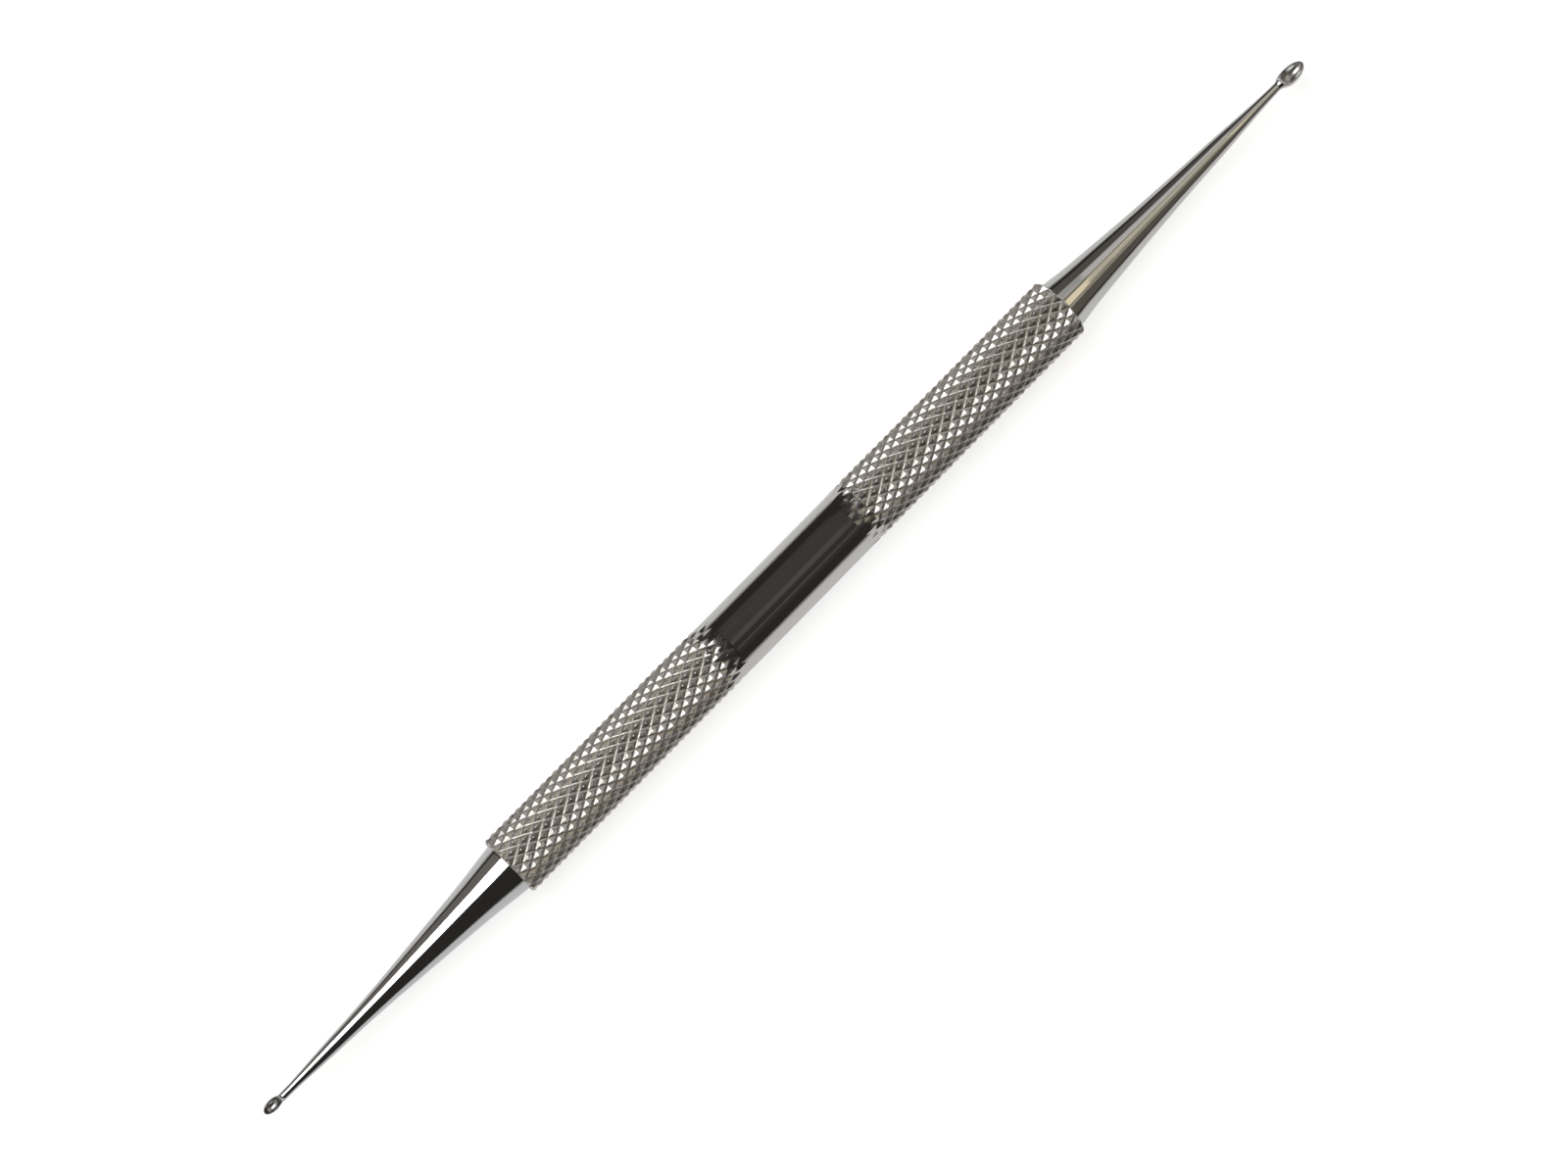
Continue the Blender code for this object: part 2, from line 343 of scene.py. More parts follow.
start_clean()
WAIST_INNER = BAND_INNER - 2 * EDGE_RING
bpy.ops.mesh.primitive_cylinder_add(
    vertices=WAIST_COLUMNS,
    radius=WAIST_RADIUS,
    depth=WAIST_INNER,
    end_fill_type="NOTHING",
    location=(WAIST_INNER / 2, 0.0, 0.0),
    rotation=(0.0, math.pi / 2, 0.0),
)
waist = bpy.context.object
bpy.ops.object.transform_apply(location=True, rotation=True, scale=True)
bpy.ops.object.mode_set(mode="EDIT")
pick_edges(waist, lambda a, b: abs(a.x - b.x) > EDGE_RING)
bpy.ops.mesh.subdivide(number_cuts=WAIST_CUTS)
join_onto(handle, waist)


def round_the_gap(a, b):
    """Edges of the two open rings that face each other beside the knurl."""
    radius = math.hypot(a.y, a.z)
    beside = WAIST_INNER - NEAR < min(a.x, b.x) and max(a.x, b.x) < BAND_INNER - NEAR
    return beside and abs(a.x - b.x) < NEAR and radius > BORE_RADIUS + BORE_CHAMFER


bpy.ops.object.mode_set(mode="EDIT")
pick_edges(handle, round_the_gap)
bpy.ops.mesh.bridge_edge_loops()
bpy.ops.object.mode_set(mode="OBJECT")
report(handle)

# %% [markdown]
# The handle's two halves are alike, so the finished half is copied and mirrored. Each knurl
# was rolled on its own, and in the photograph the crests of one fall half-way between those
# of the other, so the copy is also turned by one column. A mirrored copy comes out inside
# out, so the normals are worked out again once the halves are joined. The small smoothing
# angle keeps every facet of the knurl flat while the fine waist still looks round. Last, the
# handle is turned about its axis to show the crests where the photograph has them.

# %% Mirror the half and seat the handle
SMOOTH_BELOW = math.radians(15)
HANDLE_TURN = math.radians(1.5)

select_only(handle)
bpy.ops.object.duplicate()
other_half = bpy.context.object
other_half.scale = (-1.0, 1.0, 1.0)
other_half.rotation_euler = (COLUMN_STEP, 0.0, 0.0)
bpy.ops.object.transform_apply(location=True, rotation=True, scale=True)
join_onto(handle, other_half)
bpy.ops.object.mode_set(mode="EDIT")
bpy.ops.mesh.select_all(action="SELECT")
bpy.ops.mesh.remove_doubles(threshold=NEAR / 2)
bpy.ops.mesh.normals_make_consistent(inside=False)
bpy.ops.object.mode_set(mode="OBJECT")
bpy.ops.object.shade_smooth_by_angle(angle=SMOOTH_BELOW)
handle.location = ((handle_low[0] + handle_high[0]) / 2, 0.0, AXIS_HEIGHT)
handle.rotation_euler = (HANDLE_TURN, 0.0, 0.0)
bpy.ops.object.transform_apply(location=True, rotation=True, scale=True)
report(handle)

# %% [markdown]
# ## The spoon ends
#
# Each working end is one piece of steel. A lathe turns its tail, which is pressed into the
# bore, then the long hollow taper, the neck and an egg-shaped tip. The tip is bent down a
# little, so that the cup lies below the neck's line. A grinder cuts the egg flat a little
# above its middle and a tiny burr hollows it into a cup. The same steps work here: a point
# is extruded along the outline, spun round, bent ring by ring and cut with two tools.

# %% Tools for turning
TURN_STEPS = 96


def trace(name, points):
    """Draw an outline as a chain of edges, one extruded point at a time."""
    start_clean()
    # The plane may have any size, because its corners are merged into the first point.
    bpy.ops.mesh.primitive_plane_add(size=0.001)
    obj = bpy.context.object
    obj.name = name
    bpy.ops.object.mode_set(mode="EDIT")
    bpy.ops.mesh.select_mode(type="VERT")
    bpy.ops.mesh.select_all(action="SELECT")
    bpy.ops.mesh.merge(type="CENTER")
    bpy.ops.transform.translate(value=(points[0][0], 0.0, points[0][1]))
    for (x0, r0), (x1, r1) in zip(points, points[1:]):
        step = (x1 - x0, 0.0, r1 - r0)
        bpy.ops.mesh.extrude_region_move(TRANSFORM_OT_translate={"value": step})
    return obj


def spin_round(obj):
    """Turn the outline once round the X axis into a closed skin."""
    bpy.ops.mesh.select_all(action="SELECT")
    bpy.ops.mesh.spin(steps=TURN_STEPS, angle=math.tau, center=(0, 0, 0), axis=(1, 0, 0))
    bpy.ops.mesh.select_all(action="SELECT")
    bpy.ops.mesh.remove_doubles(threshold=NEAR / 2)
    bpy.ops.mesh.normals_make_consistent(inside=False)
    bpy.ops.object.mode_set(mode="OBJECT")


def ease(points, cuts):
    """Add points between the given ones on a smooth curve through them all."""
    eased = []
    for i in range(len(points) - 1):
        before = points[max(i - 1, 0)]
        start, end = points[i], points[i + 1]
        after = points[min(i + 2, len(points) - 1)]
        width = end[0] - start[0]
        slope_in = (end[1] - before[1]) / (end[0] - before[0])
        slope_out = (after[1] - start[1]) / (after[0] - start[0])
        for k in range(cuts):
            t = k / cuts
            rise = (2 * t**3 - 3 * t**2 + 1) * start[1] + (3 * t**2 - 2 * t**3) * end[1]
            bend = (t**3 - 2 * t**2 + t) * slope_in + (t**3 - t**2) * slope_out
            eased.append((start[0] + width * t, rise + bend * width))
    return eased + [points[-1]]


# %% [markdown]
# The taper isn't a straight cone: it sweeps in quickly as it leaves the tube, thins slowly
# and runs level into the neck. Its outline is given as shares, the first of the taper's
# length and the second of the radius that is still to lose, so both ends share one function.
# The egg runs out of the neck with a fillet, which a high power of both radii rounds.

# %% Turn a working end
TAIL_LENGTH = 0.012
TAIL_CHAMFER = 0.0004
FIT_GAP = 0.00003
HEEL_RINGS = 16
TIP_RINGS = 14
FILLET_SHARPNESS = 6
EASE_CUTS = 4

LARGE_TAPER_SHARES = (
    (0.0, 1.0), (0.03, 0.95), (0.08, 0.856), (0.145, 0.77), (0.21, 0.694), (0.27, 0.623),
    (0.335, 0.549), (0.395, 0.484), (0.46, 0.423), (0.52, 0.37), (0.585, 0.318),
    (0.65, 0.272), (0.71, 0.228), (0.775, 0.171), (0.84, 0.107), (0.90, 0.055),
    (0.96, 0.016), (1.0, 0.0),
)
SMALL_TAPER_SHARES = (
    (0.0, 1.0), (0.03, 0.962), (0.08, 0.878), (0.145, 0.775), (0.21, 0.695), (0.28, 0.611),
    (0.34, 0.545), (0.40, 0.477), (0.465, 0.406), (0.525, 0.338), (0.585, 0.28),
    (0.645, 0.228), (0.705, 0.185), (0.765, 0.147), (0.825, 0.102), (0.885, 0.056),
    (0.945, 0.014), (1.0, 0.0),
)


def egg(centre, half_length, radius, first, last, rings):
    """Points of an oval over the X axis, from one angle to another."""
    points = []
    for i in range(rings + 1):
        angle = first + (last - first) * i / rings
        points.append((centre - half_length * math.cos(angle), radius * math.sin(angle)))
    return points


def lower_bulb(end, size, places):
    """Set the egg below the neck's line, easing it down over the neck's last stretch."""
    start = size["reach"] - size["length"] + size["lead"]
    bpy.ops.object.mode_set(mode="EDIT")
    for x in places:
        share = min(1.0, max(0.0, (x - start) / size["bend"]))
        drop = size["drop"] * share * share * (3 - 2 * share)
        pick_points(end, lambda p: abs(p.x - x) < NEAR)
        bpy.ops.transform.translate(value=(0.0, 0.0, -drop))
    bpy.ops.object.mode_set(mode="OBJECT")


def turned_end(name, size, shares):
    """Spin the whole outline of a working end, from its tail to its tip."""
    root = BORE_RADIUS - FIT_GAP
    neck = size["neck"] / 2
    half = size["length"] / 2
    bulb = size["width"] / 2
    centre = size["reach"] - half
    taper = size["reach"] - size["length"]
    swept = [(taper * along, neck + (root - neck) * left) for along, left in shares]
    outline = [(-TAIL_LENGTH, 0.0), (-TAIL_LENGTH, root - TAIL_CHAMFER)]
    outline += [(TAIL_CHAMFER - TAIL_LENGTH, root)] + ease(swept, EASE_CUTS)
    for x, radius in egg(centre, half, bulb, 0.0, math.pi / 2, HEEL_RINGS)[1:]:
        powers = radius**FILLET_SHARPNESS + neck**FILLET_SHARPNESS
        outline.append((x, powers ** (1 / FILLET_SHARPNESS)))
    outline += egg(centre, half, bulb, math.pi / 2, math.pi, TIP_RINGS)[1:-1]
    outline.append((size["reach"], 0.0))
    end = trace(name, outline)
    spin_round(end)
    lower_bulb(end, size, sorted({x for x, radius in outline if x > taper}))
    return end


# %% [markdown]
# The rim cutter is a cube whose lower heel edge is bevelled round, so it leaves a small ramp
# up to the neck as a grinding wheel does. The burr is another spun egg, blunt at its heel and
# long towards the tip. Both are subtracted with exact Booleans. The cuts leave some edges far
# shorter than the bevel that takes the sharpness off the rim, so these are merged away first.
# A Boolean also hands its points back in another order each run, and a merge depends on the
# order, so the points are first sorted by their distance from a fixed spot off the tool.

# %% Grind and hollow the cup
RAMP_SEGMENTS = 10
OVERRUN = 0.0005
CUP_RINGS = 24
RIM_ROUND = 0.00002
RIM_CORNER = math.radians(35)
SHORTEST_EDGE = 0.000012
SORT_FROM = (0.051, 0.013, 0.007)
SMOOTH_END_BELOW = math.radians(30)


def subtract(obj, tool):
    """Cut one shape out of another, and throw the cutter away."""
    cut = obj.modifiers.new(tool.name, "BOOLEAN")
    cut.operation = "DIFFERENCE"
    cut.solver = "EXACT"
    cut.object = tool
    bake(obj, cut.name)
    bpy.data.objects.remove(tool)


def merge_short_edges(obj):
    """Sort the points, so that every run merges the same ones, and merge the close ones."""
    select_only(obj)
    bpy.ops.object.mode_set(mode="EDIT")
    bpy.ops.mesh.select_mode(type="VERT")
    bpy.ops.mesh.select_all(action="SELECT")
    bpy.context.scene.cursor.location = SORT_FROM
    bpy.ops.mesh.sort_elements(type="CURSOR_DISTANCE", elements={"VERT", "EDGE", "FACE"})
    bpy.context.scene.cursor.location = (0.0, 0.0, 0.0)
    bpy.ops.mesh.remove_doubles(threshold=SHORTEST_EDGE)
    bpy.ops.mesh.dissolve_degenerate(threshold=NEAR)
    bpy.ops.mesh.normals_make_consistent(inside=False)
    bpy.ops.object.mode_set(mode="OBJECT")


def rim_tool(size, start):
    """The block that grinds the rim, with its heel edge rounded."""
    start_clean()
    stop = size["reach"] + OVERRUN
    top = size["width"] / 2 + OVERRUN
    bpy.ops.mesh.primitive_cube_add(
        size=1.0,
        location=((start + stop) / 2, 0.0, (size["rim"] - size["drop"] + top) / 2),
        scale=(stop - start, 2 * top, top + size["drop"] - size["rim"]),
    )
    tool = bpy.context.object
    bpy.ops.object.transform_apply(location=True, rotation=True, scale=True)
    bpy.ops.object.mode_set(mode="EDIT")
    floor_level = size["rim"] - size["drop"] + NEAR
    pick_edges(tool, lambda a, b: max(a.x, b.x) < start + NEAR and max(a.z, b.z) < floor_level)
    bpy.ops.mesh.bevel(offset=size["ramp"], segments=RAMP_SEGMENTS)
    bpy.ops.object.mode_set(mode="OBJECT")
    return tool


def spoon_end(name, size, shares):
    """Make one working end along the X axis, with its cup open upwards."""
    end = turned_end(name, size, shares)
    deepest = size["reach"] - size["front"] - size["wall"]
    radius = size["width"] / 2 - size["wall"]
    subtract(end, rim_tool(size, size["reach"] - size["ground"]))
    outline = egg(deepest, size["back"], radius, 0.0, math.pi / 2, CUP_RINGS)[:-1]
    outline += egg(deepest, size["front"], radius, math.pi / 2, math.pi, CUP_RINGS)
    burr = trace(name + "_burr", outline)
    spin_round(burr)
    burr.location.z = size["burr"] - size["drop"]
    subtract(end, burr)
    merge_short_edges(end)
    edge = end.modifiers.new("rim_round", "BEVEL")
    edge.limit_method = "ANGLE"
    edge.angle_limit = RIM_CORNER
    edge.width = RIM_ROUND
    edge.segments = ROUND_SEGMENTS
    edge.use_clamp_overlap = False
    bake(end, edge.name)
    bpy.ops.object.shade_smooth_by_angle(angle=SMOOTH_END_BELOW)
    return end


def seat(end, roll, turn_about, x):
    """Roll the finished end about its axis and set it in its mouth of the tube."""
    select_only(end)
    end.matrix_world = (
        Matrix.Translation((x, 0.0, AXIS_HEIGHT))
        @ Matrix.Rotation(turn_about, 4, "Z")
        @ Matrix.Rotation(roll, 4, "X")
    )
    bpy.ops.object.transform_apply(location=True, rotation=True, scale=True)
    report(end)


# %% [markdown]
# Each end has its own sizes, in metres: how far it reaches from the tube, how thick its neck
# is, the length and width of the egg at the tip, and how far the egg drops below the neck
# over a lead and a bend. The grinding starts a length "ground" before the tip, with a ramp
# at its heel and the rim at a height above the egg's middle. The burr sits at a height of
# its own, has a back and a front half, and leaves a thin wall. The cups aren't level in the
# photograph, so each end is rolled about its own axis in its mouth.

# %% Make both spoon ends
LARGE_SIZE = {
    "reach": 0.0338, "neck": 0.00087, "length": 0.00355, "width": 0.0017, "drop": 0.00022,
    "lead": 0.0004, "bend": 0.001, "ground": 0.00322, "rim": 0.00016, "ramp": 0.0009,
    "back": 0.0009, "front": 0.0017, "burr": 0.00006, "wall": 0.00012,
}
SMALL_SIZE = {
    "reach": 0.0318, "neck": 0.00079, "length": 0.0021, "width": 0.00116, "drop": 0.00022,
    "lead": -0.0002, "bend": 0.0008, "ground": 0.00225, "rim": 0.0001, "ramp": 0.0006,
    "back": 0.00095, "front": 0.00072, "burr": 0.0001, "wall": 0.00009,
}
LARGE_ROLL = math.radians(-20)
SMALL_ROLL = math.radians(-34)

large_end = spoon_end("large_spoon", LARGE_SIZE, LARGE_TAPER_SHARES)
seat(large_end, LARGE_ROLL, 0.0, handle_high[0])
small_end = spoon_end("small_spoon", SMALL_SIZE, SMALL_TAPER_SHARES)
seat(small_end, SMALL_ROLL, math.pi, handle_low[0])

# %% [markdown]
# ## Steel
#
# A material is a graph of nodes, and adding and wiring each one takes several lines, so a
# small class holds the moves that the steels and the floor share. Every pattern reads Object
# coordinates, so it stays where it is on the piece wherever the camera stands.

# %% Helpers for node materials
NOISE_LOW = 0.3
NOISE_HIGH = 0.7
BUMP_DISTANCE = 0.00001


class Nodes:
    """A short way to add nodes to one material and wire them up."""

    def __init__(self, name):
        self.material = bpy.data.materials.new(name)
        self.material.use_nodes = True
        self.tree = self.material.node_tree
        self.shader = self.tree.nodes["Principled BSDF"]
        self.place = self.add("ShaderNodeTexCoord").outputs["Object"]

    def add(self, kind, **settings):
        """Add a node of one kind, with its own settings."""
        node = self.tree.nodes.new(kind)
        for name, value in settings.items():
            setattr(node, name, value)
        return node

    def wire(self, start, end):
        self.tree.links.new(start, end)

    def axes(self):
        """The X, Y and Z of the place on the piece."""
        split = self.add("ShaderNodeSeparateXYZ")
        self.wire(self.place, split.inputs["Vector"])
        return tuple(split.outputs)

    def math(self, operation, first, second=0.0):
        """Work out one sum from two numbers or wires."""
        node = self.add("ShaderNodeMath", operation=operation)
        for socket, value in zip(node.inputs, (first, second)):
            if isinstance(value, (int, float)):
                socket.default_value = value
            else:
                self.wire(value, socket)
        return node.outputs[0]

    def ramp(self, value, low, high, from_value, to_value):
        """Turn a value between low and high into one between two others."""
        node = self.add("ShaderNodeMapRange")
        self.wire(value, node.inputs["Value"])
        node.inputs["From Min"].default_value = low
        node.inputs["From Max"].default_value = high
        node.inputs["To Min"].default_value = from_value
        node.inputs["To Max"].default_value = to_value
        return node.outputs["Result"]

    def grain(self, along, across, detail):
        """A noise, squeezed by one amount along the tool and by another across it."""
        stretch = self.add("ShaderNodeMapping")
        stretch.inputs["Scale"].default_value = (along, across, across)
        self.wire(self.place, stretch.inputs["Vector"])
        noise = self.add("ShaderNodeTexNoise")
        noise.inputs["Scale"].default_value = 1.0
        noise.inputs["Detail"].default_value = detail
        self.wire(stretch.outputs["Vector"], noise.inputs["Vector"])
        return noise.outputs["Fac"]

    def spread(self, noise, from_value, to_value):
        """Spread the middle of a noise over a range of values."""
        return self.ramp(noise, NOISE_LOW, NOISE_HIGH, from_value, to_value)

    def blend(self, factor, low_colour, high_colour):
        """Mix two colours, given as numbers or wires."""
        node = self.add("ShaderNodeMix", data_type="RGBA")
        self.wire(factor, node.inputs["Factor"])
        for socket, colour in zip((node.inputs[6], node.inputs[7]), (low_colour, high_colour)):
            if isinstance(colour, tuple):
                socket.default_value = (*colour, 1.0)
            else:
                self.wire(colour, socket)
        return node.outputs[2]

    def bump(self, height, strength):
        """Let a pattern stir the surface."""
        node = self.add("ShaderNodeBump")
        node.inputs["Strength"].default_value = strength
        node.inputs["Distance"].default_value = BUMP_DISTANCE
        self.wire(height, node.inputs["Height"])
        self.wire(node.outputs["Normal"], self.shader.inputs["Normal"])


# %% [markdown]
# Polished stainless steel is a mirror with a faint warm grey of its own. Buffing runs along
# the tool, so what little grain there is makes long, fine streaks. They come from a noise
# pattern stretched along X, and they only stir the roughness and the surface a little. A
# coarser noise stirs the tone between a dull and a bright one. No polishing wheel reaches
# into the cups, so the steel is duller from there to the tip. It changes over a very short
# stretch, from the cup's start to CUP_FADE times as far from the tool's middle.

# %% Mix the polished steel
STREAKS = (30.0, 1800.0, 3.0)
CLOUDS = (180.0, 500.0, 2.0)
BUFFED_BUMP = 0.05
BUFFED_ROUGHNESS = (0.05, 0.09)
CUP_FADE = 1.005


def polished_steel(name, dull, bright, cup_start, cup_roughness):
    """Buffed steel with streaks along the tool, and a duller cup from one place outwards."""
    steel = Nodes(name)
    steel.shader.inputs["Metallic"].default_value = 1.0
    streaks = steel.grain(*STREAKS)
    tone = steel.spread(steel.grain(*CLOUDS), 0.0, 1.0)
    steel.wire(steel.blend(tone, dull, bright), steel.shader.inputs["Base Color"])
    buffed = steel.spread(streaks, *BUFFED_ROUGHNESS)
    along = steel.axes()[0]
    ground = steel.ramp(along, cup_start, cup_start * CUP_FADE, 0.0, cup_roughness)
    steel.wire(steel.math("ADD", buffed, ground), steel.shader.inputs["Roughness"])
    steel.bump(streaks, BUFFED_BUMP)
    return steel.material


LARGE_DULL = (0.53, 0.53, 0.525)
LARGE_BRIGHT = (0.57, 0.57, 0.56)
LARGE_CUP_ROUGHNESS = 0.18
LARGE_POLISHED_HEEL = 0.0006
SMALL_DULL = (0.52, 0.525, 0.53)
SMALL_BRIGHT = (0.56, 0.565, 0.57)
SMALL_CUP_ROUGHNESS = 0.2

large_cup = handle_high[0] + LARGE_SIZE["reach"] - LARGE_SIZE["length"] + LARGE_POLISHED_HEEL
small_cup = handle_low[0] - SMALL_SIZE["reach"] + SMALL_SIZE["length"]
large_steel = polished_steel(
    "large_end_polish", LARGE_DULL, LARGE_BRIGHT, large_cup, LARGE_CUP_ROUGHNESS
)
small_steel = polished_steel(
    "small_end_polish", SMALL_DULL, SMALL_BRIGHT, small_cup, SMALL_CUP_ROUGHNESS
)
print("spoon finishes:", large_steel.name, small_steel.name)

# %% [markdown]
# The handle has two finishes on one piece of steel. The waist is polished like the spoons.
# The knurl is left as rolled: satin flanks, tips rubbed smoother by fingers, and grooves that
# stay duller because no polishing wheel reaches them. The distance from the tool's axis tells
# the material where it is, and a fine noise breaks up the satin.

# %% Mix the handle's steel
PITTING = (4000.0, 4000.0, 2.0)
KNURL_BUMP = 0.1
GROOVE_COLOUR = (0.50, 0.475, 0.45)
CREST_COLOUR = (0.65, 0.62, 0.59)
WAIST_DULL = (0.53, 0.525, 0.515)
WAIST_BRIGHT = (0.57, 0.565, 0.555)
WAIST_ROUGHNESS = (0.05, 0.10)
SATIN_ROUGHNESS = (0.24, 0.36)
GROOVE_TOP = 0.00304
FACET_FOOT = 0.0031
GROOVE_DULLNESS = 0.2
TIP_FOOT = 0.003235
TIP_TOP = 0.003265
TIP_GLOSS = 0.2

handle_middle = (handle_low[0] + handle_high[0]) / 2


def handle_steel():
    """A mirror waist that turns into satin knurl where the grooves begin."""
    steel = Nodes("handle_polish_and_knurl")
    steel.shader.inputs["Metallic"].default_value = 1.0
    x, y, z = steel.axes()
    from_middle = steel.math("ABSOLUTE", steel.math("SUBTRACT", x, handle_middle))
    knurled = steel.ramp(from_middle, BAND_INNER, BAND_INNER + RUN_OUT, 0.0, 1.0)
    height = steel.math("SUBTRACT", z, AXIS_HEIGHT)
    squares = steel.math(
        "ADD",
        steel.math("MULTIPLY", y, y),
        steel.math("MULTIPLY", height, height),
    )
    radius = steel.math("SQRT", squares)

    streaks = steel.grain(*STREAKS)
    # The knurl's base colour is darker in the grooves and lighter towards the crests.
    raised = steel.ramp(radius, ROOT_RADIUS, CREST_RADIUS, 0.0, 1.0)
    groove_to_crest_colour = steel.blend(raised, GROOVE_COLOUR, CREST_COLOUR)
    plain = steel.blend(streaks, WAIST_DULL, WAIST_BRIGHT)
    steel.wire(steel.blend(knurled, plain, groove_to_crest_colour), steel.shader.inputs["Base Color"])

    pitting = steel.grain(*PITTING)
    depth = steel.ramp(radius, GROOVE_TOP, FACET_FOOT, GROOVE_DULLNESS, 0.0)
    rubbed = steel.ramp(radius, TIP_FOOT, TIP_TOP, 0.0, -TIP_GLOSS)
    satin = steel.math("ADD", steel.spread(pitting, *SATIN_ROUGHNESS), depth)
    satin = steel.math("ADD", satin, rubbed)
    mixed = steel.add("ShaderNodeMix", data_type="FLOAT")
    steel.wire(knurled, mixed.inputs["Factor"])
    steel.wire(steel.spread(streaks, *WAIST_ROUGHNESS), mixed.inputs[2])
    steel.wire(satin, mixed.inputs[3])
    steel.wire(mixed.outputs[0], steel.shader.inputs["Roughness"])
    steel.bump(pitting, KNURL_BUMP)
    return steel.material


handle.data.materials.append(handle_steel())
large_end.data.materials.append(large_steel)
small_end.data.materials.append(small_steel)
for piece, node, slot_name in (
    (handle, "handle_tube", "handle_steel"),
    (large_end, "large_spoon_end", "large_end_steel"),
    (small_end, "small_spoon_end", "small_end_steel"),
):
    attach(piece, "root")
    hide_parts(node)
print("pieces dressed:", handle.name, large_end.name, small_end.name)

# %% [markdown]
# ## Floor and light
#
# Polished steel shows its surroundings, so the room is part of the look. The floor is plain
# and pale. To the camera it glows nearly white. For the steel's reflections its glow is a
# painted pool of light, a softer grey that fades away to the sides, which makes the light
# rims along the tool, and close under the handle it is held back as a painted shadow.

# %% Lay the floor
FLOOR_HALF = 4.0
# Sizes and strength of the painted pool of light and of the painted shadow under the handle.
PAINTED_POOL_INNER = 0.02
PAINTED_POOL_OUTER = 0.06
PAINTED_SHADOW_OUTER = 0.0042
PAINTED_SHADOW_EDGE = 0.001
PAINTED_POOL_GLOW = 0.52
SEEN_GLOW = 0.80
PAPER_COLOUR = (0.42, 0.42, 0.42, 1.0)

start_clean()
bpy.ops.mesh.primitive_plane_add(size=2 * FLOOR_HALF)
floor = bpy.context.object
floor.name = "floor"
paper = Nodes("floor_paper")
paper.shader.inputs["Base Color"].default_value = PAPER_COLOUR
paper.shader.inputs["Roughness"].default_value = 1.0
paper.shader.inputs["Specular IOR Level"].default_value = 0.0
paper_ray = paper.add("ShaderNodeLightPath")
floor_x, floor_y = paper.axes()[:2]
sideways = paper.math("ABSOLUTE", floor_y)
lengthwise = paper.math("ABSOLUTE", paper.math("SUBTRACT", floor_x, handle_middle))
# The steel's reflections see a painted pool of light on the floor, fading away to the sides.
painted_pool = paper.ramp(sideways, PAINTED_POOL_OUTER, PAINTED_POOL_INNER, 0.0, 1.0)
painted_pool.node.interpolation_type = "SMOOTHSTEP"
# Close under the handle the painted glow is held back: a painted shadow of the tool.
beside = paper.ramp(sideways, WAIST_RADIUS, PAINTED_SHADOW_OUTER, 0.0, 1.0)
beyond = paper.ramp(lengthwise, HALF_HANDLE - PAINTED_SHADOW_EDGE, HALF_HANDLE, 0.0, 1.0)
outside_painted_shadow = paper.math("MAXIMUM", beside, beyond)
painted_glow = paper.math("MULTIPLY", paper.math("MULTIPLY", painted_pool, outside_painted_shadow), PAINTED_POOL_GLOW)
mirrored = paper.math("MULTIPLY", paper_ray.outputs["Is Glossy Ray"], painted_glow)
seen = paper.math("MULTIPLY", paper_ray.outputs["Is Camera Ray"], SEEN_GLOW)
glow = paper.add("ShaderNodeEmission")
paper.wire(paper.math("ADD", mirrored, seen), glow.inputs["Strength"])
both = paper.add("ShaderNodeAddShader")
paper.wire(paper.shader.outputs["BSDF"], both.inputs[0])
paper.wire(glow.outputs["Emission"], both.inputs[1])
paper.wire(both.outputs["Shader"], paper.tree.nodes["Material Output"].inputs["Surface"])
floor.data.materials.append(paper.material)
print("floor:", 2 * FLOOR_HALF, "m wide")

# %% [markdown]
# Overhead the room is dark, with one bright lamp towards the small end and grey and warm
# panels towards the large end. Weak brown ones stand for the rest of the room. The waist
# mirrors none of these, so it has four faint cards of its own, in the narrow strip of the
# room that it does mirror. A tall round wall glows beyond each end. The walls light the floor and
# the slanting facets of the knurl, and are too low for the smooth steel to show. They are set
# off towards one side, because the knurl is darker along its lower edge in the photograph.

# %% Hang the lamps
LAMP_DISTANCE = 2.0
WALL_SHIFT = 0.7


def hang(name, shape, colour, place, facing):
    """Add an area light at a place, turned by a matrix, and return its settings."""
    light = bpy.data.lights.new(name, "AREA")
    light.shape = shape
    light.color = colour
    obj = bpy.data.objects.new(name, light)
    bpy.context.scene.collection.objects.link(obj)
    obj.matrix_world = Matrix.Translation(place) @ facing
    return light


def lamp(name, tilt, side, width, depth, brightness, colour):
    """A rectangular lamp seen from the tool at a tilt towards +X and a turn towards -Y.

    The tilt, the turn, and the width and depth that the tool sees are in degrees.
    """
    tilt, side = math.radians(tilt), math.radians(side)
    level = math.cos(tilt)
    away = Vector((math.sin(tilt), -math.sin(side) * level, math.cos(side) * level))
    cross = Vector((0.0, math.cos(side), math.sin(side)))
    facing = Matrix((cross.cross(away), cross, away)).transposed().to_4x4()
    light = hang(name, "RECTANGLE", colour, AXIS_MIDDLE + away * LAMP_DISTANCE, facing)
    light.size = 2 * LAMP_DISTANCE * math.tan(math.radians(width) / 2)
    light.size_y = 2 * LAMP_DISTANCE * math.tan(math.radians(depth) / 2)
    light.energy = brightness * math.pi * light.size * light.size_y


def end_wall(name, x, tilt, brightness, colour):
    """A round glowing wall across the X axis, which fills every view beyond one tilt."""
    facing = Matrix.Rotation(math.copysign(math.pi / 2, x), 4, "Y")
    light = hang(name, "DISK", colour, (x, WALL_SHIFT, 0.0), facing)
    light.size = 2 * abs(x) / math.tan(math.radians(tilt))
    light.energy = brightness * math.pi * math.pi * light.size**2 / 4


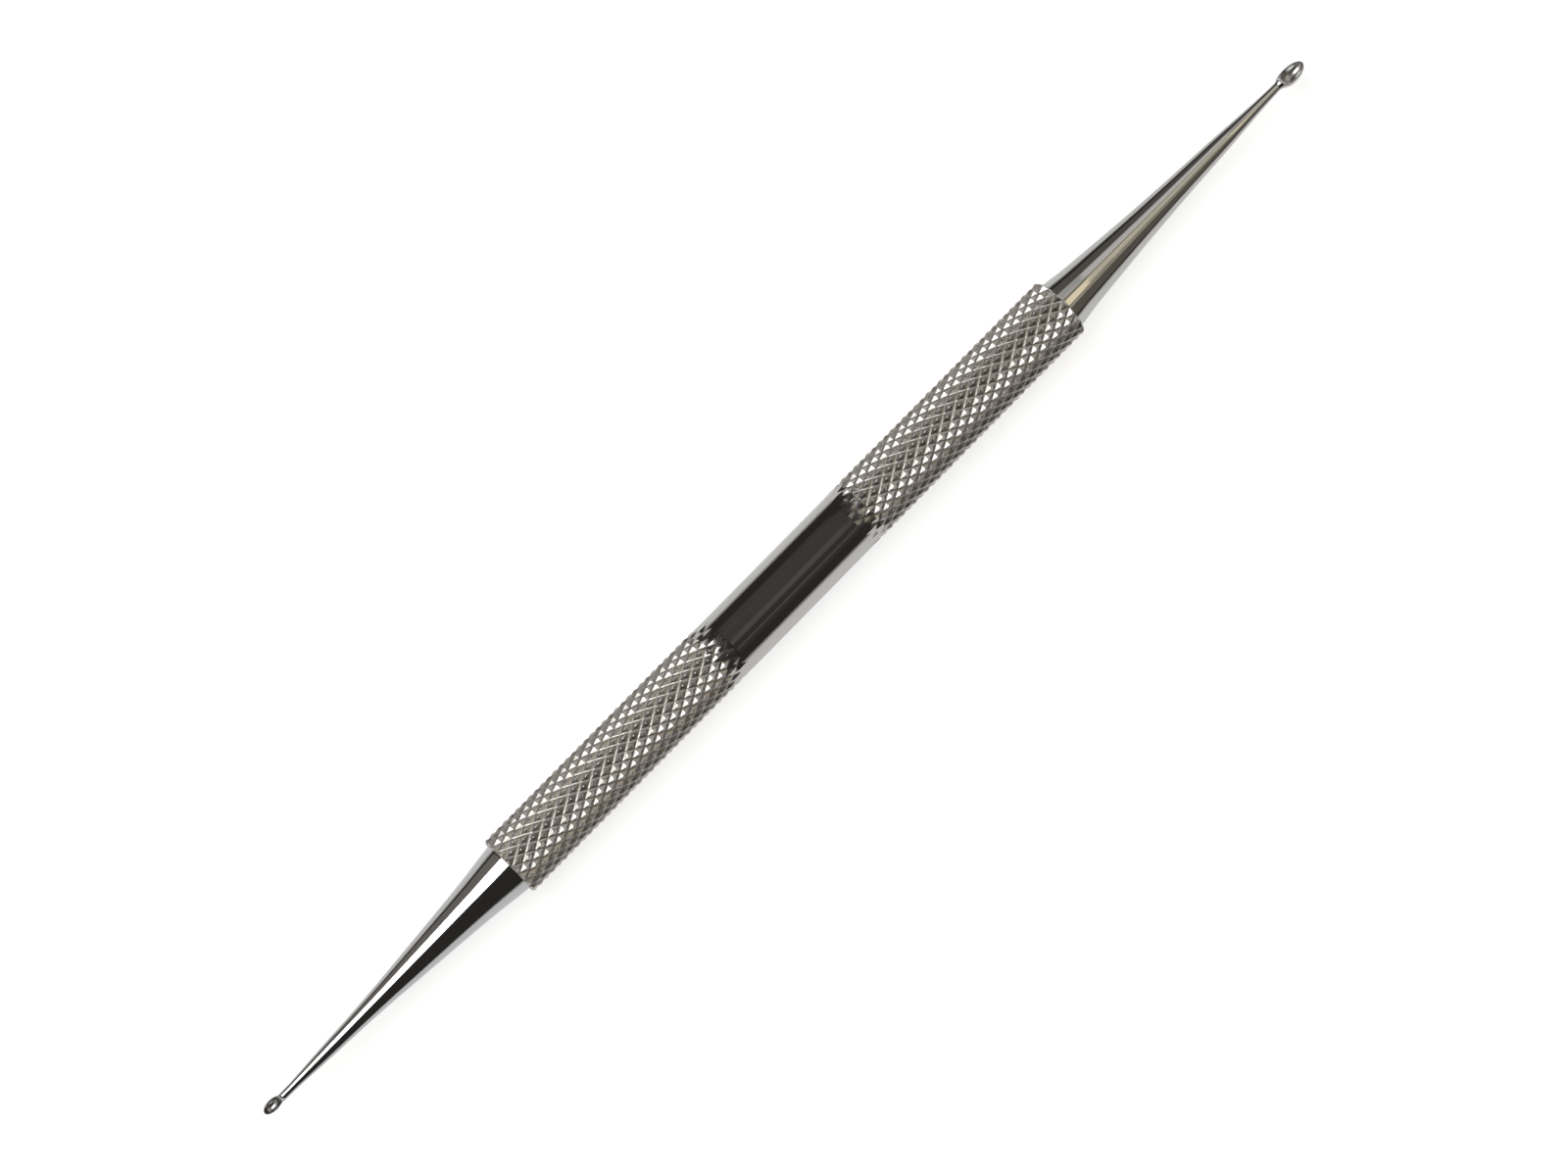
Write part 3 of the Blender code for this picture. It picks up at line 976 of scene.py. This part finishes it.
lamp("key_lamp", -17.5, -19, 29, 42, 4.5, (1.0, 0.99, 0.97))
lamp("grey_panel", 30, -23, 32, 26, 0.45, (1.0, 0.99, 0.96))
lamp("grey_glow", 22, -19, 7, 26, 0.25, (1.0, 0.99, 0.96))
lamp("warm_panel", 28, 16, 32, 48, 0.32, (1.0, 0.90, 0.72))
lamp("warm_core", 29.5, 17, 8, 22, 0.85, (1.0, 0.86, 0.58))
lamp("warm_glow", 22, 12, 7, 22, 0.35, (1.0, 0.94, 0.76))
lamp("brown_left", -13, -62, 14, 36, 0.18, (1.0, 0.90, 0.80))
lamp("brown_upper", 27, -55, 26, 34, 0.09, (1.0, 0.90, 0.78))
lamp("brown_lower", 27, 59, 26, 42, 0.11, (1.0, 0.88, 0.70))
lamp("waist_upper", 7.2, -18, 7, 74, 0.035, (1.0, 0.94, 0.86))
lamp("waist_lower", 7.2, 39, 7, 40, 0.015, (1.0, 0.94, 0.86))
lamp("waist_stripe", 7.2, 13, 7, 18, 0.045, (1.0, 0.96, 0.92))
lamp("waist_line", 7.2, 42, 7, 7, 0.05, (1.0, 0.95, 0.80))
end_wall("near_wall", -1.2, 28, 0.35, (1.0, 0.98, 0.94))
end_wall("far_wall", 1.2, 40, 0.4, (1.0, 0.98, 0.94))

# %% [markdown]
# The rest of the room is nearly black, so that the steel keeps deep tones between the lamps.
# To the camera it is plain white, as in the cut-out photograph.

# %% Set the room
ROOM_COLOUR = (0.035, 0.033, 0.031, 1.0)
WHITE = (1.0, 1.0, 1.0, 1.0)

world = bpy.data.worlds.new("room")
bpy.context.scene.world = world
world.use_nodes = True
tree = world.node_tree
room = tree.nodes["Background"]
room.inputs["Color"].default_value = ROOM_COLOUR
backdrop = tree.nodes.new("ShaderNodeBackground")
backdrop.inputs["Color"].default_value = WHITE
room_ray = tree.nodes.new("ShaderNodeLightPath")
choose = tree.nodes.new("ShaderNodeMixShader")
tree.links.new(room_ray.outputs["Is Camera Ray"], choose.inputs["Fac"])
tree.links.new(room.outputs["Background"], choose.inputs[1])
tree.links.new(backdrop.outputs["Background"], choose.inputs[2])
tree.links.new(choose.outputs["Shader"], tree.nodes["World Output"].inputs["Surface"])
bpy.context.scene.view_settings.view_transform = "Standard"
